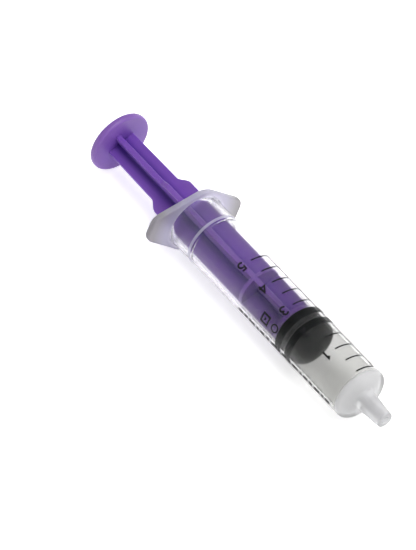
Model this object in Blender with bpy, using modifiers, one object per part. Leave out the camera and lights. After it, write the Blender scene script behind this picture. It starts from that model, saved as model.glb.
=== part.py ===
"""Oral syringe of 5 ml, in its three mouldings: barrel, stopper and plunger rod.

Frame, in metres: +Z up, the barrel's axis along +X towards the nozzle. The origin lies on the
surface that the syringe rests on, straight below the axis, in the middle of the finger flange's
thickness. The syringe lies on one long edge of its lozenge-shaped flange, and the stopper's
front edge stands at the FILL_ML line.
"""

import math

import bmesh
import bpy
from mathutils import Matrix, Vector

MM = 0.001
TURN_STEPS = 48

# Barrel, placed along the axis from the middle of the flange
BORE_R = 6.225 * MM
WALL = 0.9 * MM
BARREL_R = BORE_R + WALL
ZERO_X = 63.7 * MM                   # the 0 ml line, where the stopper's front edge ends its travel
END_GAP = 0.3 * MM                   # left between the stopper and the end of the bore
END_CONE = 2.0 * MM                  # length of the cone at the bore's end, as on the stopper's nose
SHOULDER_X = 65.8 * MM
SHOULDER_RISE = 0.9 * MM             # how far the shoulder domes forward on its way in to the nozzle
SHOULDER_EDGE = 1.0 * MM
NOZZLE_TIP_X = 75.0 * MM
NOZZLE_ROOT_R = 2.8 * MM
NOZZLE_TIP_R = 2.1 * MM
NOZZLE_EDGE = 0.35 * MM
NOZZLE_BORE_R = 1.0 * MM
COLLAR_R = 7.3 * MM                  # the barrel is a little thicker behind its retaining bead
COLLAR_END_X = 7.8 * MM
COLLAR_TAPER = 0.5 * MM
BEAD_X = 8.0 * MM                    # the bead that keeps the stopper in
BEAD_RISE = 0.24 * MM
BEAD_HALF_WIDTH = 0.6 * MM
MOUTH_CHAMFER = 0.4 * MM
ROOT_FILLET = 1.2 * MM               # between the flange and the collar

# Finger flange: a lozenge with its four corners rounded
FLANGE_THICK = 1.6 * MM
FLANGE_REACH = 14.1 * MM             # half of the long diagonal
FLANGE_RISE = 8.8 * MM               # half of the short diagonal
FLANGE_CORNER_R = 2.95 * MM
FLANGE_TIP_HALF = 1.25 * MM          # half of the straight stretch across each wing's tip
FLANGE_CREST_HALF = 0.8 * MM         # half of the straight stretch along each crest
FLANGE_RIM = 0.3 * MM

# Stopper, placed along the axis from its front edge, with the thumb's side negative
FILL_ML = 2.0
STOPPER_R = 6.155 * MM
STOPPER_WAIST_R = 5.75 * MM
STOPPER_LENGTH = 6.6 * MM
STOPPER_NOSE_R = 0.9 * MM
SEAL_WIDTH = 2.2 * MM
SEAL_EASE = 0.35 * MM                # chamfer at each side of a seal
PIECE_GAP = 0.3 * MM                 # left between the rod and the stopper

# Plunger rod, placed like the stopper
ROD_TURN = math.radians(16.0)        # how far the cross of ribs stands turned from upright
RIB_R = 5.6 * MM
RIB_THICK = 1.3 * MM
NECK_R = (3.75 * MM, 3.95 * MM)      # at the thumb disc and at the flare
FLARE_X = (-58.8 * MM, -55.4 * MM)   # where the narrow ribs widen
THUMB_DISC_R = 8.15 * MM
THUMB_DISC_THICK = 1.9 * MM
THUMB_DISC_X = -77.8 * MM            # its outer face
WEB_DISC_X = -21.6 * MM              # its rear face, as on the front disc
FRONT_DISC_X = -8.1 * MM
DISC_THICK = 1.1 * MM
FRONT_DISC_R = 5.5 * MM
BOSS_NECK_R = 1.8 * MM
BOSS_HEAD_R = 2.7 * MM
BOSS_NOSE_R = 1.4 * MM
BOSS_HEAD_X = -4.6 * MM
BOSS_CONE_X = -2.4 * MM
BOSS_NOSE_X = -1.2 * MM

MM_PER_ML = 1e-6 / (math.pi * BORE_R**2)
READING_X = ZERO_X - FILL_ML * MM_PER_ML


def flange_lean():
    """How far the lozenge leans on a long edge: the angle between that edge and its long diagonal."""
    rise = FLANGE_RISE - FLANGE_CORNER_R - FLANGE_TIP_HALF
    run = FLANGE_REACH - FLANGE_CORNER_R - FLANGE_CREST_HALF
    return math.atan2(rise, run)


def axis_height():
    """Height of the axis above the surface that the flange's long edge lies on."""
    lean = flange_lean()
    crest = FLANGE_RISE - FLANGE_CORNER_R
    return FLANGE_CREST_HALF * math.sin(lean) + crest * math.cos(lean) + FLANGE_CORNER_R


AXIS_Z = axis_height()


def clear_scene():
    for obj in list(bpy.data.objects):
        bpy.data.objects.remove(obj, do_unlink=True)


def collection(name, rendered=True):
    made = bpy.data.collections.new(name)
    made.hide_render = not rendered
    bpy.context.scene.collection.children.link(made)
    return made


def material(name, colour, roughness, alpha=1.0):
    made = bpy.data.materials.new(name)
    made.use_nodes = True
    shader = made.node_tree.nodes["Principled BSDF"]
    shader.inputs["Base Color"].default_value = (*colour, 1.0)
    shader.inputs["Roughness"].default_value = roughness
    shader.inputs["Metallic"].default_value = 0.0
    shader.inputs["Alpha"].default_value = alpha
    made.diffuse_color = (*colour, alpha)
    return made


def pose(x=0.0, turn=0.0):
    """A place x along the barrel's axis, turned about it from upright towards -Y."""
    return Matrix.Translation((x, 0.0, AXIS_Z)) @ Matrix.Rotation(turn, 4, "X")


def add_object(name, data, home, placed):
    obj = bpy.data.objects.new(name, data)
    obj.matrix_world = placed
    home.objects.link(obj)
    return obj


def turned(name, profile, home, x=0.0):
    """A solid of revolution, from a profile of (place along the axis, radius), front to back."""
    mesh = bpy.data.meshes.new(name)
    points = [(radius, 0.0, along) for along, radius in profile]
    mesh.from_pydata(points, [(i, i + 1) for i in range(len(points) - 1)], [])
    obj = add_object(name, mesh, home, pose(x) @ Matrix.Rotation(math.pi / 2, 4, "Y"))
    screw = obj.modifiers.new("turn", "SCREW")
    screw.axis = "Z"
    screw.steps = TURN_STEPS
    screw.render_steps = TURN_STEPS
    screw.use_merge_vertices = True
    screw.merge_threshold = 1e-6
    screw.use_smooth_shade = True
    return obj


def flat_plate(name, outline, thick, home, placed):
    """A plate of this outline in the XY plane of placed, thick along its Z, as a mesh."""
    curve = bpy.data.curves.new(name, "CURVE")
    curve.dimensions = "2D"
    curve.fill_mode = "BOTH"
    curve.extrude = thick / 2
    spline = curve.splines.new("POLY")
    spline.points.add(len(outline) - 1)
    for point, (x, y) in zip(spline.points, outline):
        point.co = (x, y, 0.0, 1.0)
    spline.use_cyclic_u = True
    sketch = add_object(f"{name} sketch", curve, home, placed)
    bpy.context.view_layer.update()
    evaluated = sketch.evaluated_get(bpy.context.evaluated_depsgraph_get())
    mesh = bpy.data.meshes.new_from_object(evaluated)
    weld(mesh)
    plate = add_object(name, mesh, home, sketch.matrix_world.copy())
    bpy.data.objects.remove(sketch)
    return plate


def weld(mesh):
    """Closes the seams between a filled curve's faces, and makes each flat face one polygon."""
    shape = bmesh.new()
    shape.from_mesh(mesh)
    bmesh.ops.remove_doubles(shape, verts=shape.verts, dist=1e-7)
    flat = math.radians(1)
    bmesh.ops.dissolve_limit(shape, angle_limit=flat, verts=shape.verts, edges=shape.edges)
    bmesh.ops.recalc_face_normals(shape, faces=shape.faces)
    shape.to_mesh(mesh)
    shape.free()


def boolean(obj, other, operation):
    """Joins the other solid to obj or cuts it out, and keeps the other as a wire guide."""
    modifier = obj.modifiers.new(f"{operation.lower()} {other.name}", "BOOLEAN")
    modifier.operation = operation
    modifier.solver = "EXACT"
    modifier.object = other
    other.hide_render = True
    other.display_type = "WIRE"


def arc(centre, radius, start, end, steps):
    """Points of an arc round centre, both ends included."""
    angles = [start + (end - start) * i / steps for i in range(steps + 1)]
    return [(centre[0] + radius * math.cos(a), centre[1] + radius * math.sin(a)) for a in angles]


def rounded(before, corner, after, cut, steps=3):
    """A corner of a profile rounded off over the distance cut along both of its sides."""
    before, corner, after = Vector(before), Vector(corner), Vector(after)
    start = corner + (before - corner).normalized() * cut
    end = corner + (after - corner).normalized() * cut
    points = []
    for i in range(steps + 1):
        t = i / steps
        points.append(tuple((1 - t) ** 2 * start + 2 * t * (1 - t) * corner + t * t * end))
    return points


def flange_outline(steps=6):
    """The lozenge anticlockwise from the wing at +X, with its long diagonal along X."""
    normal = math.pi / 2 - flange_lean()
    tip = (FLANGE_REACH - FLANGE_CORNER_R, FLANGE_TIP_HALF)
    crest = (FLANGE_CREST_HALF, FLANGE_RISE - FLANGE_CORNER_R)
    quarter = arc(tip, FLANGE_CORNER_R, 0.0, normal, steps)
    quarter += arc(crest, FLANGE_CORNER_R, normal, math.pi / 2, steps // 2)
    half = quarter + [(-x, y) for x, y in reversed(quarter)]
    return half + [(-x, -y) for x, y in half]


def make_flange(home):
    across = Matrix.Rotation(math.pi / 2, 4, "Z") @ Matrix.Rotation(math.pi / 2, 4, "X")
    lying = pose(turn=-flange_lean()) @ across
    plate = flat_plate("flange", flange_outline(), FLANGE_THICK, home, lying)
    rim = plate.modifiers.new("eased rim", "BEVEL")
    rim.width = FLANGE_RIM
    rim.segments = 2
    rim.limit_method = "ANGLE"
    rim.angle_limit = math.radians(60)
    return plate


def barrel_outside():
    """The barrel's outer profile without the flange, from the nozzle's tip to inside the flange."""
    tip = (NOZZLE_TIP_X, NOZZLE_TIP_R)
    root = (SHOULDER_X + SHOULDER_RISE, NOZZLE_ROOT_R)
    shoulder = (SHOULDER_X, BARREL_R)
    collar_front = (COLLAR_END_X + COLLAR_TAPER, BARREL_R)
    face = FLANGE_THICK / 2
    fillet_centre = (face + ROOT_FILLET, COLLAR_R + ROOT_FILLET)
    fillet = arc(fillet_centre, ROOT_FILLET, 1.5 * math.pi, math.pi, 4)
    inside = 0.1 * MM
    return (
        [(NOZZLE_TIP_X, 0.0)]
        + rounded((NOZZLE_TIP_X, 0.0), tip, root, NOZZLE_EDGE)
        + rounded(tip, root, shoulder, 0.4 * MM)
        + rounded(root, shoulder, collar_front, SHOULDER_EDGE)
        + [collar_front, (COLLAR_END_X, COLLAR_R)]
        + fillet
        + [(inside, COLLAR_R + ROOT_FILLET), (inside, 0.0)]
    )


def bore():
    """The hollow from the nozzle's mouth to the open back, cut longer than the barrel at both ends."""
    beyond = 1.0 * MM
    back = -FLANGE_THICK / 2
    return [
        (NOZZLE_TIP_X + beyond, 0.0),
        (NOZZLE_TIP_X + beyond, NOZZLE_BORE_R),
        (ZERO_X + END_GAP + END_CONE, NOZZLE_BORE_R),
        (ZERO_X + END_GAP, BORE_R),
        (BEAD_X + BEAD_HALF_WIDTH, BORE_R),
        (BEAD_X + BEAD_HALF_WIDTH / 3, BORE_R - BEAD_RISE),
        (BEAD_X - BEAD_HALF_WIDTH / 3, BORE_R - BEAD_RISE),
        (BEAD_X - BEAD_HALF_WIDTH, BORE_R),
        (back + MOUTH_CHAMFER, BORE_R),
        (back - beyond, BORE_R + MOUTH_CHAMFER + beyond),
        (back - beyond, 0.0),
    ]


def make_barrel(home, guides):
    barrel = turned("barrel", barrel_outside(), home)
    boolean(barrel, make_flange(guides), "UNION")
    boolean(barrel, turned("bore", bore(), guides), "DIFFERENCE")
    return barrel


def make_stopper(home):
    """Rubber stopper with two seals, a cone in front and a socket behind for the rod's boss."""
    back = -STOPPER_LENGTH
    slope = END_CONE / (BORE_R - NOZZLE_BORE_R)
    nose = slope * (STOPPER_R - STOPPER_NOSE_R)
    waist_drop = STOPPER_R - STOPPER_WAIST_R
    outside = [
        (nose, 0.0),
        (nose, STOPPER_NOSE_R),
        (slope * SEAL_EASE, STOPPER_R - SEAL_EASE),
        (-SEAL_EASE, STOPPER_R),
        (-SEAL_EASE - SEAL_WIDTH, STOPPER_R),
        (-SEAL_EASE - SEAL_WIDTH - waist_drop, STOPPER_WAIST_R),
        (back + SEAL_EASE + SEAL_WIDTH + waist_drop, STOPPER_WAIST_R),
        (back + SEAL_EASE + SEAL_WIDTH, STOPPER_R),
        (back + SEAL_EASE, STOPPER_R),
        (back, STOPPER_R - SEAL_EASE),
    ]
    socket = [
        (back, BOSS_NECK_R + PIECE_GAP),
        (BOSS_HEAD_X - PIECE_GAP, BOSS_NECK_R + PIECE_GAP),
        (BOSS_HEAD_X - PIECE_GAP, BOSS_HEAD_R + PIECE_GAP),
        (BOSS_CONE_X + PIECE_GAP, BOSS_HEAD_R + PIECE_GAP),
        (BOSS_NOSE_X + PIECE_GAP, BOSS_NOSE_R + PIECE_GAP),
        (BOSS_NOSE_X + PIECE_GAP, 0.0),
    ]
    return turned("stopper", outside + socket, home, READING_X)


def rod_end():
    """The disc that pushes the stopper, with the mushroom boss that the stopper snaps onto."""
    front = -STOPPER_LENGTH - PIECE_GAP
    return [
        (BOSS_NOSE_X, 0.0),
        (BOSS_NOSE_X, BOSS_NOSE_R),
        (BOSS_CONE_X, BOSS_HEAD_R),
        (BOSS_HEAD_X, BOSS_HEAD_R),
        (BOSS_HEAD_X, BOSS_NECK_R),
        (front, BOSS_NECK_R),
        (front, FRONT_DISC_R),
        (FRONT_DISC_X, FRONT_DISC_R),
        (FRONT_DISC_X, 0.0),
    ]


def thumb_disc():
    back = THUMB_DISC_X
    front = THUMB_DISC_X + THUMB_DISC_THICK
    middle = ((front + back) / 2, THUMB_DISC_R)
    ease = 0.9 * THUMB_DISC_THICK / 2
    return (
        [(front, 0.0)]
        + rounded((front, 0.0), (front, THUMB_DISC_R), middle, ease)
        + rounded(middle, (back, THUMB_DISC_R), (back, 0.0), ease)
        + [(back, 0.0)]
    )


def web_disc():
    radius = math.hypot(RIB_R, RIB_THICK / 2) + 0.02 * MM
    return [
        (WEB_DISC_X + DISC_THICK, 0.0),
        (WEB_DISC_X + DISC_THICK, radius),
        (WEB_DISC_X, radius),
        (WEB_DISC_X, 0.0),
    ]


def flare(steps=6):
    """The ribs' edge where they widen, as (place along the axis, reach), level at both ends."""
    points = []
    for i in range(steps + 1):
        t = i / steps
        swell = t * t * (3 - 2 * t)
        x = FLARE_X[0] + t * (FLARE_X[1] - FLARE_X[0])
        points.append((x, NECK_R[1] + swell * (RIB_R - NECK_R[1])))
    return points


def rib_outline():
    """One pair of opposite ribs, flat and along X, from the thumb disc to the front disc."""
    bite = DISC_THICK / 3
    back = THUMB_DISC_X + THUMB_DISC_THICK - bite
    side = [(back, NECK_R[0])] + flare() + [(FRONT_DISC_X + bite, RIB_R)]
    return [(x, -y) for x, y in side] + list(reversed(side))


def make_plunger_rod(home, guides):
    rod = turned("plunger_rod", rod_end(), home, READING_X)
    for name, quarter in (("upright ribs", math.pi / 2), ("crossing ribs", 0.0)):
        placed = pose(READING_X, ROD_TURN + quarter)
        boolean(rod, flat_plate(name, rib_outline(), RIB_THICK, guides, placed), "UNION")
    boolean(rod, turned("web disc", web_disc(), guides, READING_X), "UNION")
    boolean(rod, turned("thumb disc", thumb_disc(), guides, READING_X), "UNION")
    return rod


def main():
    clear_scene()
    syringe = collection("oral syringe")
    guides = collection("oral syringe guides", rendered=False)
    clear_plastic = material("clear polypropylene", (0.80, 0.81, 0.82), 0.25, 0.35)
    black_rubber = material("black rubber", (0.012, 0.013, 0.014), 0.55)
    purple_plastic = material("purple polypropylene", (0.15, 0.06, 0.33), 0.4)
    make_barrel(syringe, guides).data.materials.append(clear_plastic)
    make_stopper(syringe).data.materials.append(black_rubber)
    make_plunger_rod(syringe, guides).data.materials.append(purple_plastic)


main()
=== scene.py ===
"""Looks of the oral syringe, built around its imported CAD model: barrel, stopper, plunger rod and scale."""

import math

import bmesh
import bpy
from mathutils import Matrix, Vector


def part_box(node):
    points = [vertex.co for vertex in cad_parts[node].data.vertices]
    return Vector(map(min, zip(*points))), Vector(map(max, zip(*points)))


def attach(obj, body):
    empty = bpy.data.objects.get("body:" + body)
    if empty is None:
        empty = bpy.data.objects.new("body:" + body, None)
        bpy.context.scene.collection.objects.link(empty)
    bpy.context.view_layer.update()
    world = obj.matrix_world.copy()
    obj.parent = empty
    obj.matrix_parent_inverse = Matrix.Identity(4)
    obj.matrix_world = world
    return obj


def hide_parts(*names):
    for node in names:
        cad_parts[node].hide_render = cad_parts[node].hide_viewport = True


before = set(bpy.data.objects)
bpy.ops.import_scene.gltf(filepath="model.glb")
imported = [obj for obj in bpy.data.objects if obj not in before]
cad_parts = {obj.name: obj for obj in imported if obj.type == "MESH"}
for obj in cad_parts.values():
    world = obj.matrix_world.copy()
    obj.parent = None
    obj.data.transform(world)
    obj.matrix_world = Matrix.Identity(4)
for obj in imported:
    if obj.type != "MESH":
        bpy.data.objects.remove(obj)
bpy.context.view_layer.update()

MM = 0.001
TURN_STEPS = 128
ON_AXIS = 1e-7                          # a radius below this is a point on the axis


def box(node):
    low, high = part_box(node)
    return Vector(low), Vector(high)


# What the frame gives
BARREL_LOW, BARREL_HIGH = box("barrel")
ROD_LOW, ROD_HIGH = box("plunger_rod")
AXIS_Z = (ROD_LOW.z + ROD_HIGH.z) / 2
FLANGE_THICK = -2 * BARREL_LOW.x
NOZZLE_TIP_X = BARREL_HIGH.x
THUMB_DISC_R = (ROD_HIGH.y - ROD_LOW.y) / 2
THUMB_DISC_X = ROD_LOW.x
BOSS_NOSE_X = ROD_HIGH.x

# Barrel, as in the CAD model
BORE_R = 6.225 * MM
BARREL_R = 7.125 * MM
ZERO_X = 63.7 * MM
END_GAP = 0.3 * MM
END_CONE = 2.0 * MM
SHOULDER_X = 65.8 * MM
SHOULDER_RISE = 0.9 * MM
SHOULDER_EDGE = 1.0 * MM
NOZZLE_ROOT_R = 2.8 * MM
NOZZLE_TIP_R = 2.1 * MM
NOZZLE_EDGE = 0.35 * MM
NOZZLE_ROOT_EASE = 0.4 * MM
NOZZLE_BORE_R = 1.0 * MM
COLLAR_R = 7.3 * MM
COLLAR_END_X = 7.8 * MM
COLLAR_TAPER = 0.5 * MM
BEAD_X = 8.0 * MM
BEAD_RISE = 0.24 * MM
BEAD_HALF_WIDTH = 0.6 * MM
MOUTH_CHAMFER = 0.4 * MM
ROOT_FILLET = 1.2 * MM
FLANGE_REACH = 14.1 * MM
FLANGE_RISE = 8.8 * MM
FLANGE_CORNER_R = 2.95 * MM
FLANGE_TIP_HALF = 1.25 * MM
FLANGE_CREST_HALF = 0.8 * MM
FLANGE_RIM = 0.45 * MM                  # rounder than the CAD model's rim

# Stopper and rod; the seals reach a hair into the wall, as rubber that wets its bore
CAPACITY_ML = 5
FILL_ML = 2.0
STOPPER_WAIST_R = 5.75 * MM
SEAL_R = BORE_R + 0.02 * MM
STOPPER_LENGTH = 6.6 * MM
STOPPER_NOSE_R = 0.9 * MM
SEAL_WIDTH = 2.2 * MM
SEAL_EASE = 0.35 * MM
PIECE_GAP = 0.3 * MM
ROD_TURN = math.radians(16.0)
RIB_R = 5.6 * MM
RIB_THICK = 1.3 * MM
RIB_CORNER_R = 0.25 * MM
RIB_ROOT_R = 0.35 * MM
NECK_R = (3.75 * MM, 3.95 * MM)         # at the thumb disc, and where the flare starts
FLARE_X = (-58.8 * MM, -55.4 * MM)      # both ends of the flare, measured from READING_X
THUMB_DISC_THICK = 1.9 * MM
DISC_THICK = 1.1 * MM
FRONT_DISC_R = 5.5 * MM
BOSS_NECK_R = 1.8 * MM
BOSS_HEAD_R = 2.7 * MM
BOSS_NOSE_R = 1.4 * MM
BOSS_CONE = 1.2 * MM
BOSS_HEAD = 2.2 * MM

ML_LENGTH = 1e-6 / (math.pi * BORE_R**2)    # length of bore that holds 1 ml
READING_X = ZERO_X - FILL_ML * ML_LENGTH    # where the front seal's edge meets the scale
WEB_DISC_X = READING_X - 21.6 * MM
FRONT_DISC_X = READING_X - STOPPER_LENGTH - PIECE_GAP - 1.2 * MM

# Printed scale: angles round the barrel from straight up towards +Y
INK_THICK = 0.03 * MM
INK_SINK = 0.01 * MM
LINE_WIDTH = 0.4 * MM
TICKS_FROM = math.radians(0.0)
TICKS_TO = math.radians(42.0)
NUMBERS_AT = math.radians(-21.0)
NUMBER_HEIGHT = 2.3 * MM
NUMBER_WIDTH = 1.5 * MM
NUMBER_STROKE = 0.48 * MM
BLOCKS_AT = math.radians(-96.0)
BLOCK_HEIGHT = 1.1 * MM
BLOCK_LENGTHS = (1.7 * MM, 0.9 * MM, 2.3 * MM, 1.3 * MM)
BLOCK_GAP = 0.55 * MM
BLOCKS_FROM_ZERO = 1.0 * MM
BLOCKS = 17
SIGNS_AT = math.radians(-59.0)
SIGN_X = 36.5 * MM
SIGN_HALF = 1.35 * MM
SIGN_STROKE = 0.5 * MM
RING_OFFSET = 3.6 * MM
RING_R = 1.15 * MM
RING_STROKE = 0.38 * MM

# The barrel's plastic is hazy at both ends and milky where it is thick
MILKY_TO_X = 1.0 * MM
HAZY_TO_X = 8.4 * MM
HAZY_FROM_X = 63.5 * MM
MILKY_FROM_X = 64.6 * MM

# Its colour changes between these places along X, lavender at the flange end as painted light of the purple
# rod showing through, and darkens out to the flange's tips between these radii as painted shade
GREY_FROM_X = 25.0 * MM
GREY_TO_X = 52.0 * MM
FLANGE_SHADE_R = (9.0 * MM, 12.5 * MM)
FLANGE_TIP_SHADE = (0.7, 0.7, 0.6)

# Shared by all of its finishes
CLEAR_IOR = 1.25
CLEAR_SHEEN = 0.05

# Each finish: how much light passes, colour towards the flange (lavender there as painted light of the
# purple rod) and the nozzle, and range of roughness
TUBE_COLOURS = ((0.98, 0.96, 1.0), (0.68, 0.68, 0.67))
CLEAR_FINISH = (1.0, *TUBE_COLOURS, (0.1, 0.14))
FROSTED_FINISH = (0.945, *TUBE_COLOURS, (0.12, 0.16))
HAZY_FINISH = (0.97, (0.94, 0.93, 0.96), (0.7, 0.7, 0.69), (0.16, 0.2))
MILKY_FINISH = (0.62, (0.58, 0.56, 0.68), (0.68, 0.68, 0.69), (0.3, 0.4))
CLEAR, FROSTED, HAZY, MILKY = range(4)  # their slots on the barrel

# Camera and light: a light is azimuth and elevation in degrees, size in metres and power in watts
CAMERA_AZIMUTH = math.radians(53.4)
CAMERA_ELEVATION = math.radians(51.5)
CAMERA_DISTANCE = 2.5
CAMERA_LENS = 692.0
AIM_RIGHT = 3.44 * MM
AIM_UP = -13.2 * MM
WORLD_HORIZON = 0.75
WORLD_OVERHEAD = 0.3
LIGHT_DISTANCE = 0.8
LIGHT_AIM_X = 20.0 * MM
KEY = (130.0, 70.0, 0.7, 7.3)
FILL = (8.0, 28.0, 0.6, 0.2)
FLOOR_HALF = 4.0
FLOOR_DROP = 0.1 * MM
FLOOR_GLOW = 0.58

# The rod's purple where the ribs meet, darkened there as painted shade, on the ribs, and at the thumb disc's
# rim, paler there as painted light
PURPLE_ROOT_SHADE = (0.05, 0.012, 0.22)
PURPLE_RIB = (0.15, 0.055, 0.37)
PURPLE_RIM_LIT = (0.19, 0.09, 0.36)
PURPLE_ROOT_R = 1.0 * MM
PURPLE_RIB_AT = 0.22                    # from 0 at the root's radius to 1 at the thumb disc's rim

# How much the skins shine
PURPLE_SHEEN = 0.1
PURPLE_SPEC = 0.4
RUBBER_SPEC = 0.1
INK_SPEC = 0.15


# ---------------------------------------------------------------- meshes

def link(obj):
    bpy.context.scene.collection.objects.link(obj)
    return obj


def pose(x=0.0, turn=0.0):
    """A place x along the barrel's axis, turned about it from upright towards -Y."""
    return Matrix.Translation((x, 0.0, AXIS_Z)) @ Matrix.Rotation(turn, 4, "X")


def arc(centre, radius, start, end, steps):
    angles = [start + (end - start) * i / steps for i in range(steps + 1)]
    return [(centre[0] + radius * math.cos(a), centre[1] + radius * math.sin(a)) for a in angles]


def rounded(before, corner, after, cut, steps=5):
    """A corner of a profile rounded off over the distance cut along both of its sides."""
    before, corner, after = Vector(before), Vector(corner), Vector(after)
    start = corner + (before - corner).normalized() * cut
    end = corner + (after - corner).normalized() * cut
    points = []
    for i in range(steps + 1):
        t = i / steps
        points.append(tuple((1 - t) ** 2 * start + 2 * t * (1 - t) * corner + t * t * end))
    return points


def eased(profile, cuts, steps=4):
    """A profile with its inner corners rounded by the distances in cuts, where 0 leaves a sharp one."""
    points = [profile[0]]
    for i in range(1, len(profile) - 1):
        if cuts[i]:
            points += rounded(profile[i - 1], profile[i], profile[i + 1], cuts[i], steps)
        else:
            points.append(profile[i])
    return points + [profile[-1]]


def to_object(name, shape):
    """Makes the shape an object of the scene, with its faces all turned outwards."""
    bmesh.ops.recalc_face_normals(shape, faces=shape.faces)
    mesh = bpy.data.meshes.new(name)
    shape.to_mesh(mesh)
    shape.free()
    return link(bpy.data.objects.new(name, mesh))


def turned(name, profile):
    """A solid turned about the barrel's axis, from a profile of (place along it, radius), front to back."""
    shape = bmesh.new()
    rings = []
    for along, radius in profile:
        if radius < ON_AXIS:
            rings.append([shape.verts.new((along, 0.0, AXIS_Z))])
            continue
        ring = []
        for i in range(TURN_STEPS):
            angle = 2 * math.pi * i / TURN_STEPS
            across, up = radius * math.sin(angle), radius * math.cos(angle)
            ring.append(shape.verts.new((along, across, AXIS_Z + up)))
        rings.append(ring)
    for first, second in zip(rings, rings[1:]):
        for i in range(TURN_STEPS):
            j = (i + 1) % TURN_STEPS
            if len(first) == 1:
                shape.faces.new((first[0], second[j], second[i]))
            elif len(second) == 1:
                shape.faces.new((first[i], first[j], second[0]))
            else:
                shape.faces.new((first[i], first[j], second[j], second[i]))
    return to_object(name, shape)


def lofted(name, rings):
    """A closed solid through these rings of points, which all have the same number of points."""
    shape = bmesh.new()
    made = [[shape.verts.new(point) for point in ring] for ring in rings]
    for first, second in zip(made, made[1:]):
        for i in range(len(first)):
            j = (i + 1) % len(first)
            shape.faces.new((first[i], first[j], second[j], second[i]))
    shape.faces.new(made[0])
    shape.faces.new(list(reversed(made[-1])))
    return to_object(name, shape)


def combine(obj, others, operation):
    """Joins the others to obj, or cuts them out of it, and removes them."""
    for other in others:
        modifier = obj.modifiers.new("combine", "BOOLEAN")
        modifier.operation = operation
        modifier.solver = "EXACT"
        modifier.object = other
    bpy.context.view_layer.update()
    evaluated = obj.evaluated_get(bpy.context.evaluated_depsgraph_get())
    mesh = bpy.data.meshes.new_from_object(evaluated)
    obj.modifiers.clear()
    old = obj.data
    obj.data = mesh
    mesh.name = obj.name
    bpy.data.meshes.remove(old)
    for other in others:
        bpy.data.objects.remove(other)


def smooth(obj, sharp_degrees=35.0):
    mesh = obj.data
    for polygon in mesh.polygons:
        polygon.use_smooth = True
    mesh.set_sharp_from_angle(angle=math.radians(sharp_degrees))
    weighted = obj.modifiers.new("weighted normals", "WEIGHTED_NORMAL")
    weighted.keep_sharp = True


# ---------------------------------------------------------------- barrel

def flange_lean():
    rise = FLANGE_RISE - FLANGE_CORNER_R - FLANGE_TIP_HALF
    run = FLANGE_REACH - FLANGE_CORNER_R - FLANGE_CREST_HALF
    return math.atan2(rise, run)


def flange_outline(inset, steps=14):
    """The lozenge, pulled in by inset, as points (y, z) that run anticlockwise seen from the nozzle."""
    lean = flange_lean()
    normal = math.pi / 2 - lean
    radius = FLANGE_CORNER_R - inset
    tip = (FLANGE_REACH - FLANGE_CORNER_R, FLANGE_TIP_HALF)
    crest = (FLANGE_CREST_HALF, FLANGE_RISE - FLANGE_CORNER_R)
    quarter = arc(tip, radius, 0.0, normal, steps)
    quarter += arc(crest, radius, normal, math.pi / 2, steps // 2)
    half = quarter + [(-x, y) for x, y in reversed(quarter)]
    flat = half + [(-x, -y) for x, y in half]
    turn = Matrix.Rotation(-lean, 2)
    return [turn @ Vector(point) for point in flat]


def make_flange():
    """The flange as a loft whose two rims are rounded by quarter arcs."""
    rings = []
    steps = 5
    half = FLANGE_THICK / 2
    for side in (1, -1):
        for i in range(steps + 1):
            angle = math.pi / 2 * (i / steps if side > 0 else 1 - i / steps)
            inset = FLANGE_RIM * (1 - math.sin(angle))
            x = side * (half - FLANGE_RIM + FLANGE_RIM * math.cos(angle))
            rings.append([(x, y, AXIS_Z + z) for y, z in flange_outline(inset)])
    return lofted("flange", rings)


def make_barrel():
    tip = (NOZZLE_TIP_X, NOZZLE_TIP_R)
    root = (SHOULDER_X + SHOULDER_RISE, NOZZLE_ROOT_R)
    shoulder = (SHOULDER_X, BARREL_R)
    step_front = (COLLAR_END_X + COLLAR_TAPER, BARREL_R)
    step_back = (COLLAR_END_X, COLLAR_R)
    step_ease = 0.2 * MM
    face = FLANGE_THICK / 2
    fillet_centre = (face + ROOT_FILLET, COLLAR_R + ROOT_FILLET)
    inside = 0.1 * MM                   # where the tube ends, within the flange that it is joined to
    outside = (
        [(NOZZLE_TIP_X, 0.0)]
        + rounded((NOZZLE_TIP_X, 0.0), tip, root, NOZZLE_EDGE)
        + rounded(tip, root, shoulder, NOZZLE_ROOT_EASE)
        + rounded(root, shoulder, (0.0, BARREL_R), SHOULDER_EDGE, 8)
        + rounded(shoulder, step_front, step_back, step_ease)
        + rounded(step_front, step_back, (0.0, COLLAR_R), step_ease)
        + arc(fillet_centre, ROOT_FILLET, 1.5 * math.pi, math.pi, 8)
        + [(inside, COLLAR_R + ROOT_FILLET), (inside, 0.0)]
    )
    beyond = 1.0 * MM
    back = -FLANGE_THICK / 2
    bead_top = BORE_R - BEAD_RISE
    hollow = eased(
        [
            (NOZZLE_TIP_X + beyond, 0.0),
            (NOZZLE_TIP_X + beyond, NOZZLE_BORE_R),
            (ZERO_X + END_GAP + END_CONE, NOZZLE_BORE_R),
            (ZERO_X + END_GAP, BORE_R),
            (BEAD_X + BEAD_HALF_WIDTH, BORE_R),
            (BEAD_X, bead_top - BEAD_RISE / 3),
            (BEAD_X - BEAD_HALF_WIDTH, BORE_R),
            (back + MOUTH_CHAMFER, BORE_R),
            (back - beyond, BORE_R + MOUTH_CHAMFER + beyond),
            (back - beyond, 0.0),
        ],
        [0, 0, 0.2 * MM, 0.3 * MM, 0.15 * MM, 0.4 * MM, 0.15 * MM, 0.15 * MM, 0, 0],
    )
    barrel = turned("barrel_clear", outside)
    combine(barrel, [make_flange()], "UNION")
    combine(barrel, [turned("hollow", hollow)], "DIFFERENCE")
    smooth(barrel)
    return barrel


# ---------------------------------------------------------------- stopper and rod

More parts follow.
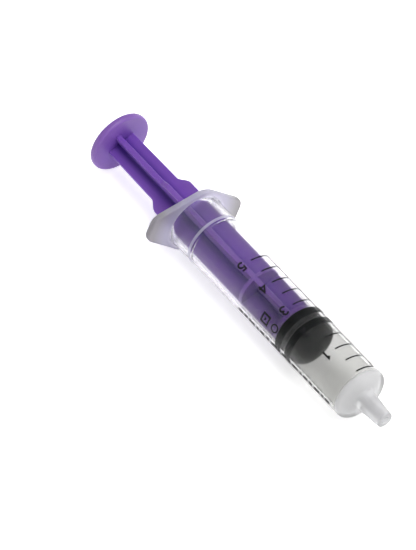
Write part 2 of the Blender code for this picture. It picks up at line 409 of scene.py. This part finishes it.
def make_stopper():
    front = READING_X
    back = front - STOPPER_LENGTH
    slope = END_CONE / (BORE_R - NOZZLE_BORE_R)
    nose = front + slope * (SEAL_R - STOPPER_NOSE_R)
    drop = SEAL_R - STOPPER_WAIST_R
    head_x = BOSS_NOSE_X - BOSS_CONE - BOSS_HEAD
    cone_x = BOSS_NOSE_X - BOSS_CONE
    profile = [
        (nose, 0.0),
        (nose, STOPPER_NOSE_R),
        (front + slope * SEAL_EASE, SEAL_R - SEAL_EASE),
        (front - SEAL_EASE, SEAL_R),
        (front - SEAL_EASE - SEAL_WIDTH, SEAL_R),
        (front - SEAL_EASE - SEAL_WIDTH - drop, STOPPER_WAIST_R),
        (back + SEAL_EASE + SEAL_WIDTH + drop, STOPPER_WAIST_R),
        (back + SEAL_EASE + SEAL_WIDTH, SEAL_R),
        (back + SEAL_EASE, SEAL_R),
        (back, SEAL_R - SEAL_EASE),
        (back, BOSS_NECK_R + PIECE_GAP),
        (head_x - PIECE_GAP, BOSS_NECK_R + PIECE_GAP),
        (head_x - PIECE_GAP, BOSS_HEAD_R + PIECE_GAP),
        (cone_x + PIECE_GAP, BOSS_HEAD_R + PIECE_GAP),
        (BOSS_NOSE_X + PIECE_GAP, BOSS_NOSE_R + PIECE_GAP),
        (BOSS_NOSE_X + PIECE_GAP, 0.0),
    ]
    ease = 0.17 * MM
    cuts = [0, ease, ease, ease, ease, ease, ease, ease, ease, ease, 0.1 * MM, 0, 0, 0, 0, 0]
    stopper = turned("stopper_rubber", eased(profile, cuts))
    smooth(stopper)
    return stopper


def cross_section(reach, thick, corner, root):
    """Outline of the cross of ribs: rounded ends, and a fillet of radius root between neighbours."""
    half = thick / 2
    quarter = arc((reach - corner, half - corner), corner, 0.0, math.pi / 2, 3)
    quarter += arc((half + root, half + root), root, 1.5 * math.pi, math.pi, 4)
    quarter += arc((half - corner, reach - corner), corner, 0.0, math.pi / 2, 3)
    points = []
    for side in range(4):
        turn = Matrix.Rotation(side * math.pi / 2, 2)
        points += [turn @ Vector(point) for point in quarter]
    return points


def make_ribs():
    start = THUMB_DISC_X + THUMB_DISC_THICK
    flare_start, flare_end = (READING_X + x for x in FLARE_X)
    neck_r, flare_r = NECK_R
    stations = [(start - DISC_THICK / 2, neck_r), (start, neck_r), (flare_start, flare_r)]
    steps = 10
    for i in range(1, steps + 1):
        t = i / steps
        swell = t * t * (3 - 2 * t)
        along = flare_start + t * (flare_end - flare_start)
        stations.append((along, flare_r + (RIB_R - flare_r) * swell))
    stations.append((FRONT_DISC_X + DISC_THICK / 2, RIB_R))
    rings = []
    for x, reach in stations:
        placed = pose(x, ROD_TURN)
        outline = cross_section(reach, RIB_THICK, RIB_CORNER_R, RIB_ROOT_R)
        rings.append([placed @ Vector((0.0, y, z)) for y, z in outline])
    return lofted("ribs", rings)


def disc(name, back, front, radius, ease):
    profile = (
        [(front, 0.0)]
        + rounded((front, 0.0), (front, radius), (back, radius), ease)
        + rounded((front, radius), (back, radius), (back, 0.0), ease)
        + [(back, 0.0)]
    )
    return turned(name, profile)


def make_rod():
    head_x = BOSS_NOSE_X - BOSS_CONE - BOSS_HEAD
    end_front = READING_X - STOPPER_LENGTH - PIECE_GAP
    boss = [
        (BOSS_NOSE_X, 0.0),
        (BOSS_NOSE_X, BOSS_NOSE_R),
        (BOSS_NOSE_X - BOSS_CONE, BOSS_HEAD_R),
        (head_x, BOSS_HEAD_R),
        (head_x, BOSS_NECK_R),
        (end_front, BOSS_NECK_R),
        (end_front, FRONT_DISC_R),
        (FRONT_DISC_X, FRONT_DISC_R),
        (FRONT_DISC_X, 0.0),
    ]
    rod = turned("plunger_rod_purple", eased(boss, [0] + 7 * [0.15 * MM] + [0]))
    web_r = RIB_R + 0.06 * MM
    thumb_front = THUMB_DISC_X + THUMB_DISC_THICK
    thumb_ease = 0.85 * THUMB_DISC_THICK / 2
    others = [
        make_ribs(),
        disc("web", WEB_DISC_X, WEB_DISC_X + DISC_THICK, web_r, 0.2 * MM),
        disc("thumb", THUMB_DISC_X, thumb_front, THUMB_DISC_R, thumb_ease),
    ]
    combine(rod, others, "UNION")
    smooth(rod)
    return rod


# ---------------------------------------------------------------- printed scale

def on_barrel(x, angle, lift):
    radius = BARREL_R + lift
    return Vector((x, radius * math.sin(angle), AXIS_Z + radius * math.cos(angle)))


def ink_band(shape, edges, closed=False):
    """A thin raised band of ink between pairs of places (x, angle) on the barrel; closed joins its ends."""
    low, high = -INK_SINK, INK_THICK - INK_SINK
    rows = []
    for first, second in edges:
        corners = ((first, low), (second, low), (second, high), (first, high))
        rows.append([shape.verts.new(on_barrel(x, angle, lift)) for (x, angle), lift in corners])
    for first, second in zip(rows, rows[1:] + rows[:1] if closed else rows[1:]):
        for i in range(4):
            j = (i + 1) % 4
            shape.faces.new((first[i], first[j], second[j], second[i]))
    if not closed:
        shape.faces.new(rows[0])
        shape.faces.new(list(reversed(rows[-1])))


def ink_patch(shape, x0, x1, from_angle, to_angle):
    """A bar of ink between two places along the barrel and two angles round it."""
    cuts = max(1, math.ceil(abs(to_angle - from_angle) / math.radians(3)))
    angles = [from_angle + (to_angle - from_angle) * i / cuts for i in range(cuts + 1)]
    ink_band(shape, [((x0, angle), (x1, angle)) for angle in angles])


def make_lines():
    shape = bmesh.new()
    half = LINE_WIDTH / 2
    for i in range(2 * CAPACITY_ML + 1):
        x = ZERO_X - i * ML_LENGTH / 2
        ink_patch(shape, x - half, x + half, TICKS_FROM, TICKS_TO)
    scale_end = ZERO_X - CAPACITY_ML * ML_LENGTH
    spine = LINE_WIDTH / BARREL_R
    ink_patch(shape, scale_end - half, ZERO_X + half, TICKS_TO, TICKS_TO + spine)
    return to_object("scale_lines", shape)


def stroke_band(points, width):
    """The left and right edges of a stroke of this width through these points, mitred at its corners."""
    places = [Vector(point) for point in points]
    steps = [(b - a).normalized() for a, b in zip(places, places[1:])]
    left, right = [], []
    for here, before, after in zip(places, steps[:1] + steps, steps + steps[-1:]):
        along = (before + after).normalized()
        across = Vector((-along.y, along.x))
        reach = width / 2 / max(0.5, along.dot(after))
        left.append(here + across * reach)
        right.append(here - across * reach)
    return left, right


def bow(centre, reach, start, end, steps=10):
    """Part of an ellipse of this half width and half height, between two angles in degrees."""
    angles = [math.radians(start + (end - start) * i / steps) for i in range(steps + 1)]
    return [(centre[0] + reach[0] * math.cos(a), centre[1] + reach[1] * math.sin(a)) for a in angles]


def digit_strokes(number):
    """The strokes of a digit in a box from (0, 0) to (1, 1), up along y."""
    if number == 1:
        return [[(0.2, 0.76), (0.56, 1.0), (0.56, 0.0)]]
    if number == 2:
        hook = bow((0.48, 0.7), (0.42, 0.3), 165, -35)
        return [hook + [(0.06, 0.0)], [(0.0, 0.05), (1.0, 0.05)]]
    if number == 3:
        return [bow((0.46, 0.75), (0.4, 0.24), 160, -90), bow((0.46, 0.27), (0.48, 0.26), 90, -160)]
    if number == 4:
        return [[(0.74, 0.0), (0.74, 1.0), (0.0, 0.3), (1.0, 0.3)]]
    return [[(0.9, 0.96), (0.2, 0.96)] + bow((0.46, 0.32), (0.48, 0.31), 125, -145)]


def make_number(number):
    """One number of the scale in even strokes, its top towards the nozzle, bent round the barrel."""
    shape = bmesh.new()
    centre_x = ZERO_X - number * ML_LENGTH
    for stroke in digit_strokes(number):
        points = []
        for first, second in zip(stroke, stroke[1:]):
            for i in range(4):
                points.append(tuple(Vector(first).lerp(Vector(second), i / 4)))
        points.append(stroke[-1])
        flat = [((x - 0.5) * NUMBER_WIDTH, (y - 0.5) * NUMBER_HEIGHT) for x, y in points]
        edges = []
        for pair in zip(*stroke_band(flat, NUMBER_STROKE)):
            edges.append([(centre_x + place.y, NUMBERS_AT - place.x / BARREL_R) for place in pair])
        ink_band(shape, edges)
    return to_object(f"scale_number_{number}", shape)


def make_blocks():
    """A row of plain blocks low on the -Y side, in place of small print."""
    shape = bmesh.new()
    half = BLOCK_HEIGHT / 2 / BARREL_R
    x = ZERO_X - BLOCKS_FROM_ZERO
    for i in range(BLOCKS):
        length = BLOCK_LENGTHS[i % len(BLOCK_LENGTHS)]
        ink_patch(shape, x - length, x, BLOCKS_AT - half, BLOCKS_AT + half)
        x -= length + BLOCK_GAP
    return to_object("side_blocks", shape)


def make_signs():
    """A plain frame with a bar and a plain ring, in place of the signs printed beside the numbers."""
    shape = bmesh.new()
    reach, stroke = SIGN_HALF, SIGN_STROKE
    turn = 1 / BARREL_R
    x = SIGN_X
    low, high = SIGNS_AT - reach * turn, SIGNS_AT + reach * turn
    ink_patch(shape, x - reach, x - reach + stroke, low, high)
    ink_patch(shape, x + reach - stroke, x + reach, low, high)
    ink_patch(shape, x - reach + stroke, x + reach - stroke, low, low + stroke * turn)
    ink_patch(shape, x - reach + stroke, x + reach - stroke, high - stroke * turn, high)
    ink_patch(shape, x - stroke / 2, x + stroke / 2, low + 2 * stroke * turn, high - 2 * stroke * turn)
    ring_x = SIGN_X + RING_OFFSET
    rings = [arc((0.0, 0.0), r, 0.0, 2 * math.pi, 32)[:-1] for r in (RING_R - RING_STROKE, RING_R)]
    edges = [[(ring_x + u, SIGNS_AT + v * turn) for u, v in pair] for pair in zip(*rings)]
    ink_band(shape, edges, closed=True)
    return to_object("side_signs", shape)


# ---------------------------------------------------------------- materials

def new_material(name):
    made = bpy.data.materials.new(name)
    made.use_nodes = True
    tree = made.node_tree
    shader = tree.nodes["Principled BSDF"]
    place = tree.nodes.new("ShaderNodeTexCoord").outputs["Object"]
    return made, tree, shader, place


def noise_value(tree, place, scale, detail=3.0, stretch=(1.0, 1.0, 1.0)):
    mapping = tree.nodes.new("ShaderNodeMapping")
    mapping.inputs["Scale"].default_value = stretch
    tree.links.new(place, mapping.inputs["Vector"])
    node = tree.nodes.new("ShaderNodeTexNoise")
    node.inputs["Scale"].default_value = scale
    node.inputs["Detail"].default_value = detail
    tree.links.new(mapping.outputs["Vector"], node.inputs["Vector"])
    return node.outputs["Fac"]


def ramp(tree, value, low, high, low_colour, high_colour):
    node = tree.nodes.new("ShaderNodeValToRGB")
    node.color_ramp.elements[0].position = low
    node.color_ramp.elements[1].position = high
    node.color_ramp.elements[0].color = (*low_colour, 1.0)
    node.color_ramp.elements[1].color = (*high_colour, 1.0)
    tree.links.new(value, node.inputs["Fac"])
    return node.outputs["Color"]


def map_range(tree, value, low, high, to_low=0.0, to_high=1.0):
    """A value as to_low at low to to_high at high, and held there beyond them."""
    node = tree.nodes.new("ShaderNodeMapRange")
    node.inputs["From Min"].default_value = low
    node.inputs["From Max"].default_value = high
    node.inputs["To Min"].default_value = to_low
    node.inputs["To Max"].default_value = to_high
    tree.links.new(value, node.inputs["Value"])
    return node.outputs["Result"]


def spread(tree, noise, low, high):
    """A noise value, stretched so that 0.3 to 0.7 of it covers low to high."""
    return map_range(tree, noise, 0.3, 0.7, low, high)


def along_axis(tree, place, low, high):
    """How far a point is along the barrel's axis, as 0 at low to 1 at high."""
    parts = tree.nodes.new("ShaderNodeSeparateXYZ")
    tree.links.new(place, parts.inputs["Vector"])
    return map_range(tree, parts.outputs["X"], low, high)


def from_axis(tree, place, low, high):
    """How far a point is from the barrel's axis, as 0 at low to 1 at high."""
    mapping = tree.nodes.new("ShaderNodeMapping")
    mapping.inputs["Location"].default_value = (0.0, 0.0, -AXIS_Z)
    mapping.inputs["Scale"].default_value = (0.0, 1.0, 1.0)
    tree.links.new(place, mapping.inputs["Vector"])
    length = tree.nodes.new("ShaderNodeVectorMath")
    length.operation = "LENGTH"
    tree.links.new(mapping.outputs["Vector"], length.inputs[0])
    return map_range(tree, length.outputs["Value"], low, high)


def product(tree, first, second):
    mix = tree.nodes.new("ShaderNodeMix")
    mix.data_type = "RGBA"
    mix.blend_type = "MULTIPLY"
    factor, first_colour, second_colour = mix.inputs[0], mix.inputs[6], mix.inputs[7]
    factor.default_value = 1.0
    tree.links.new(first, first_colour)
    tree.links.new(second, second_colour)
    return mix.outputs[2]


def bump(tree, shader, value, strength, depth):
    node = tree.nodes.new("ShaderNodeBump")
    node.inputs["Strength"].default_value = strength
    node.inputs["Distance"].default_value = depth
    tree.links.new(value, node.inputs["Height"])
    tree.links.new(node.outputs["Normal"], shader.inputs["Normal"])


def clear_plastic(name, transmission, flange_colour_with_rod_light, nozzle_grey, gloss):
    """Polypropylene that light passes through, with faint flow marks along it and an uneven gloss; its
    colour holds painted light of the purple rod near the flange and painted shade out to the flange's tips.
    """
    made, tree, shader, place = new_material(name)
    streaks = noise_value(tree, place, 260.0, 4.0, (0.18, 1.0, 1.0))
    # painted light: towards the flange the colour turns lavender, as the purple rod's light showing through
    along = along_axis(tree, place, GREY_FROM_X, GREY_TO_X)
    tint_and_painted_light = ramp(tree, along, 0.0, 1.0, flange_colour_with_rod_light, nozzle_grey)
    # painted shade: the colour darkens out to the flange's tips
    reach = from_axis(tree, place, *FLANGE_SHADE_R)
    tint_and_painted_light = product(tree, tint_and_painted_light, ramp(tree, reach, 0.0, 1.0, (1.0, 1.0, 1.0), FLANGE_TIP_SHADE))
    marks = ramp(tree, streaks, 0.35, 0.7, (0.96, 0.96, 0.96), (1.0, 1.0, 1.0))
    tree.links.new(product(tree, tint_and_painted_light, marks), shader.inputs["Base Color"])
    tree.links.new(spread(tree, streaks, *gloss), shader.inputs["Roughness"])
    shader.inputs["Transmission Weight"].default_value = transmission
    shader.inputs["IOR"].default_value = CLEAR_IOR
    shader.inputs["Sheen Weight"].default_value = CLEAR_SHEEN
    shader.inputs["Sheen Roughness"].default_value = 0.3
    return made


def finish_barrel(barrel):
    """Clear outside, frosted bore, hazy collar and front end, and milky flange and nozzle."""
    for material in (
        clear_plastic("clear_polypropylene", *CLEAR_FINISH),
        clear_plastic("frosted_bore", *FROSTED_FINISH),
        clear_plastic("hazy_polypropylene", *HAZY_FINISH),
        clear_plastic("milky_polypropylene", *MILKY_FINISH),
    ):
        barrel.data.materials.append(material)
    for polygon in barrel.data.polygons:
        x, y, z = polygon.center
        outside = math.hypot(y, z - AXIS_Z) > (BORE_R + BARREL_R) / 2
        collar_step = outside and COLLAR_END_X - COLLAR_TAPER < x < COLLAR_END_X + COLLAR_TAPER
        if x < MILKY_TO_X or x > MILKY_FROM_X or collar_step:
            polygon.material_index = MILKY
        elif x < HAZY_TO_X or x > HAZY_FROM_X:
            polygon.material_index = HAZY
        else:
            polygon.material_index = CLEAR if outside else FROSTED


def purple_plastic():
    """Purple polypropylene with a satin skin, with painted shade deep where the ribs meet and painted light
    paler out to the rim.
    """
    made, tree, shader, place = new_material("purple_polypropylene")
    # painted shade and light: the purple darkens towards the axis where the ribs meet and pales out to the
    # rim; the thumb disc's outer face keeps the pale rim tone
    outer_face = along_axis(
        tree, place, THUMB_DISC_X + 0.8 * THUMB_DISC_THICK, THUMB_DISC_X + 0.3 * THUMB_DISC_THICK
    )
    shade_to_light = tree.nodes.new("ShaderNodeMath")
    shade_to_light.operation = "MAXIMUM"
    tree.links.new(from_axis(tree, place, PURPLE_ROOT_R, THUMB_DISC_R), shade_to_light.inputs[0])
    tree.links.new(outer_face, shade_to_light.inputs[1])
    tone = ramp(tree, shade_to_light.outputs["Value"], 0.0, 1.0, PURPLE_ROOT_SHADE, PURPLE_RIM_LIT)
    tone.node.color_ramp.elements.new(PURPLE_RIB_AT).color = (*PURPLE_RIB, 1.0)
    cloud = noise_value(tree, place, 140.0, 3.0)
    mottle = ramp(tree, cloud, 0.3, 0.7, (0.93, 0.92, 0.94), (1.0, 1.0, 1.0))
    tree.links.new(product(tree, tone, mottle), shader.inputs["Base Color"])
    grain = noise_value(tree, place, 4200.0, 2.0)
    tree.links.new(spread(tree, grain, 0.38, 0.5), shader.inputs["Roughness"])
    shader.inputs["Subsurface Weight"].default_value = 0.25
    shader.inputs["Subsurface Radius"].default_value = (1.0, 0.5, 1.4)
    shader.inputs["Subsurface Scale"].default_value = 0.0008
    shader.inputs["Specular IOR Level"].default_value = PURPLE_SPEC
    shader.inputs["Sheen Weight"].default_value = PURPLE_SHEEN
    shader.inputs["Sheen Roughness"].default_value = 0.4
    shader.inputs["Sheen Tint"].default_value = (0.85, 0.8, 0.95, 1.0)
    bump(tree, shader, grain, 0.12, 0.00002)
    return made


def black_rubber():
    """Black rubber: satin, with fine mould grain and a tone that varies faintly."""
    made, tree, shader, place = new_material("black_rubber")
    cloud = noise_value(tree, place, 300.0, 3.0, (3.0, 1.0, 1.0))
    colour = ramp(tree, cloud, 0.3, 0.75, (0.003, 0.004, 0.004), (0.009, 0.011, 0.012))
    tree.links.new(colour, shader.inputs["Base Color"])
    grain = noise_value(tree, place, 3000.0, 2.0)
    tree.links.new(spread(tree, grain, 0.42, 0.6), shader.inputs["Roughness"])
    shader.inputs["Specular IOR Level"].default_value = RUBBER_SPEC
    bump(tree, shader, grain, 0.15, 0.00002)
    return made


def black_ink():
    """Screen-printed ink: nearly black, a little uneven in cover."""
    made, tree, shader, place = new_material("black_ink")
    cover = noise_value(tree, place, 1500.0, 3.0)
    colour = ramp(tree, cover, 0.3, 0.8, (0.004, 0.004, 0.005), (0.014, 0.014, 0.017))
    tree.links.new(colour, shader.inputs["Base Color"])
    tree.links.new(spread(tree, cover, 0.45, 0.65), shader.inputs["Roughness"])
    shader.inputs["Specular IOR Level"].default_value = INK_SPEC
    return made


def pale_floor():
    made, tree, shader, place = new_material("pale_floor")
    cloud = noise_value(tree, place, 6.0, 2.0)
    colour = ramp(tree, cloud, 0.3, 0.7, (0.93, 0.93, 0.93), (0.95, 0.95, 0.95))
    tree.links.new(colour, shader.inputs["Base Color"])
    shader.inputs["Roughness"].default_value = 0.7
    shader.inputs["Emission Color"].default_value = (1.0, 1.0, 1.0, 1.0)
    shader.inputs["Emission Strength"].default_value = FLOOR_GLOW
    return made


# ---------------------------------------------------------------- stage

def camera_axes():
    back = Vector((
        math.sin(CAMERA_AZIMUTH) * math.cos(CAMERA_ELEVATION),
        -math.cos(CAMERA_AZIMUTH) * math.cos(CAMERA_ELEVATION),
        math.sin(CAMERA_ELEVATION),
    ))
    right = Vector((math.cos(CAMERA_AZIMUTH), math.sin(CAMERA_AZIMUTH), 0.0))
    return back, right, back.cross(right)


def make_camera():
    back, right, up = camera_axes()
    aim = Vector((0.0, 0.0, AXIS_Z)) + right * AIM_RIGHT + up * AIM_UP
    data = bpy.data.cameras.new("camera")
    data.lens = CAMERA_LENS
    data.sensor_width = 36.0
    data.clip_start = 0.05
    data.clip_end = 20.0
    camera = link(bpy.data.objects.new("camera", data))
    camera.location = aim + back * CAMERA_DISTANCE
    camera.rotation_euler = back.to_track_quat("Z", "Y").to_euler()
    bpy.context.scene.camera = camera


def make_floor():
    mesh = bpy.data.meshes.new("floor")
    shape = bmesh.new()
    bmesh.ops.create_grid(shape, x_segments=1, y_segments=1, size=FLOOR_HALF)
    shape.to_mesh(mesh)
    shape.free()
    floor = link(bpy.data.objects.new("floor", mesh))
    floor.location.z = -FLOOR_DROP
    floor.data.materials.append(pale_floor())


def make_light(name, azimuth, elevation, size, power):
    """A square soft light that faces the syringe."""
    a, e = math.radians(azimuth), math.radians(elevation)
    back = Vector((math.sin(a) * math.cos(e), -math.cos(a) * math.cos(e), math.sin(e)))
    data = bpy.data.lights.new(name, "AREA")
    data.size = size
    data.energy = power
    light = link(bpy.data.objects.new(name, data))
    light.location = Vector((LIGHT_AIM_X, 0.0, AXIS_Z)) + back * LIGHT_DISTANCE
    light.rotation_euler = back.to_track_quat("Z", "Y").to_euler()


def make_world():
    """A studio that is bright round the horizon and dim overhead."""
    world = bpy.data.worlds.new("studio")
    world.use_nodes = True
    tree = world.node_tree
    parts = tree.nodes.new("ShaderNodeSeparateXYZ")
    tree.links.new(tree.nodes.new("ShaderNodeTexCoord").outputs["Generated"], parts.inputs["Vector"])
    sky = ramp(tree, parts.outputs["Z"], 0.1, 0.65, (WORLD_HORIZON,) * 3, (WORLD_OVERHEAD,) * 3)
    tree.links.new(sky, tree.nodes["Background"].inputs["Color"])
    bpy.context.scene.world = world


def main():
    make_camera()
    make_floor()
    make_world()
    make_light("key", *KEY)
    make_light("fill", *FILL)
    bpy.context.scene.view_settings.view_transform = "Standard"

    barrel = make_barrel()
    finish_barrel(barrel)
    stopper = make_stopper()
    stopper.data.materials.append(black_rubber())
    rod = make_rod()
    rod.data.materials.append(purple_plastic())
    for piece, body, node, slot in (
        (barrel, "barrel", "barrel", "clear_polypropylene"),
        (stopper, "stopper", "stopper", "black_rubber"),
        (rod, "plunger", "plunger_rod", "purple_polypropylene"),
    ):
        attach(piece, body)
        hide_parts(node)

    ink = black_ink()
    prints = [make_lines(), make_blocks(), make_signs()]
    prints += [make_number(n) for n in range(1, CAPACITY_ML + 1)]
    for piece in prints:
        piece.data.materials.append(ink)
        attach(piece, "barrel")


main()
